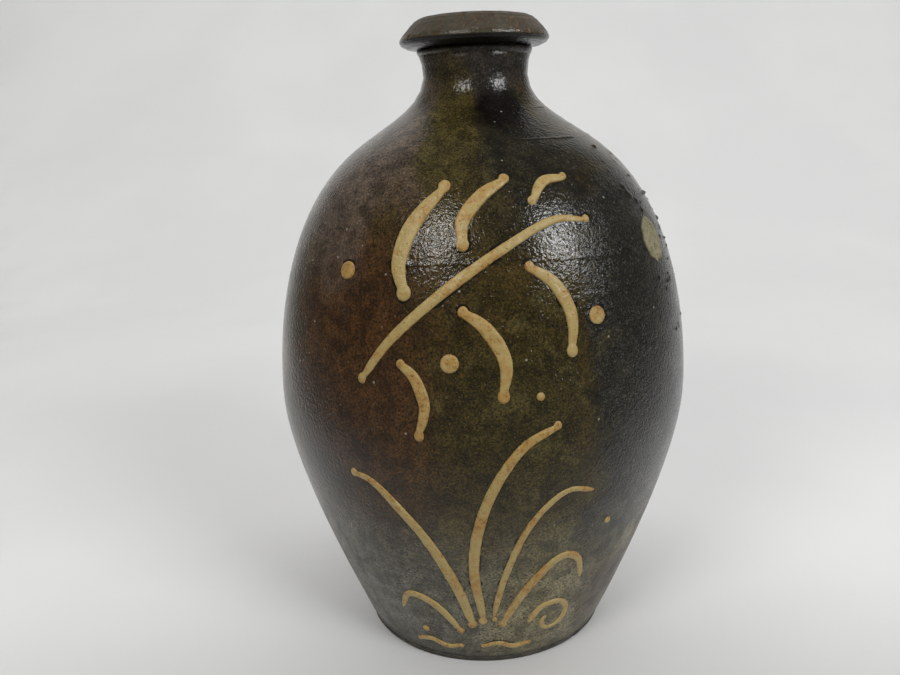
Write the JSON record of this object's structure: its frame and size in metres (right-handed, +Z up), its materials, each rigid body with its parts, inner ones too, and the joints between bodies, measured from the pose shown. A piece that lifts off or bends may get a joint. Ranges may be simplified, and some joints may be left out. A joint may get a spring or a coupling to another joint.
{
  "type": "sake bottle",
  "caption": "Wheel-thrown stoneware sake bottle with a narrow neck, a folded lip, dark mottled glaze and raised slip-trailed reeds and leaves.",
  "frame": {"origin": "middle of the flat foot, on the surface that the bottle stands on", "axes": "+Z up along the bottle's axis, the decorated side faces -Y, +X to its right as seen from the front"},
  "size_m": [0.132, 0.1328, 0.1982],
  "materials": {
    "clay": "matte unglazed stoneware, reddish brown",
    "body_glaze": "glossy dark brown to black iron glaze with olive and red-brown zones and fine pitting",
    "lip_glaze": "thinner, drier olive-brown glaze with orange-brown specks",
    "liner_glaze": "glossy dark brown glaze",
    "slip": "raised cream to ochre slip under a thin gloss",
    "scar": "dry pale tan kiln scar",
    "grit": "rough fused crumbs"
  },
  "bodies": {
    "root": {"base_disc": "clay", "lower_wall": "clay", "upper_wall": "clay", "shoulder": "clay", "neck": "clay", "lip_ring": "clay", "outer_glaze": "body_glaze", "lip_glaze": "lip_glaze", "inner_glaze": "liner_glaze", "kiln_scar": "scar", "kiln_grit": "grit", "spray_stem": "slip", "spray_leaf_1": "slip", "spray_leaf_2": "slip", "spray_leaf_3": "slip", "spray_leaf_4": "slip", "spray_leaf_5": "slip", "spray_leaf_6": "slip", "reed_blade_1": "slip", "reed_blade_2": "slip", "reed_blade_3": "slip", "reed_blade_4": "slip", "reed_blade_5": "slip", "reed_curl": "slip", "ripple_left": "slip", "ripple_right": "slip", "berry_left": "slip", "berry_middle": "slip", "berry_right": "slip", "seeds": "slip"}
  },
  "joints": []
}
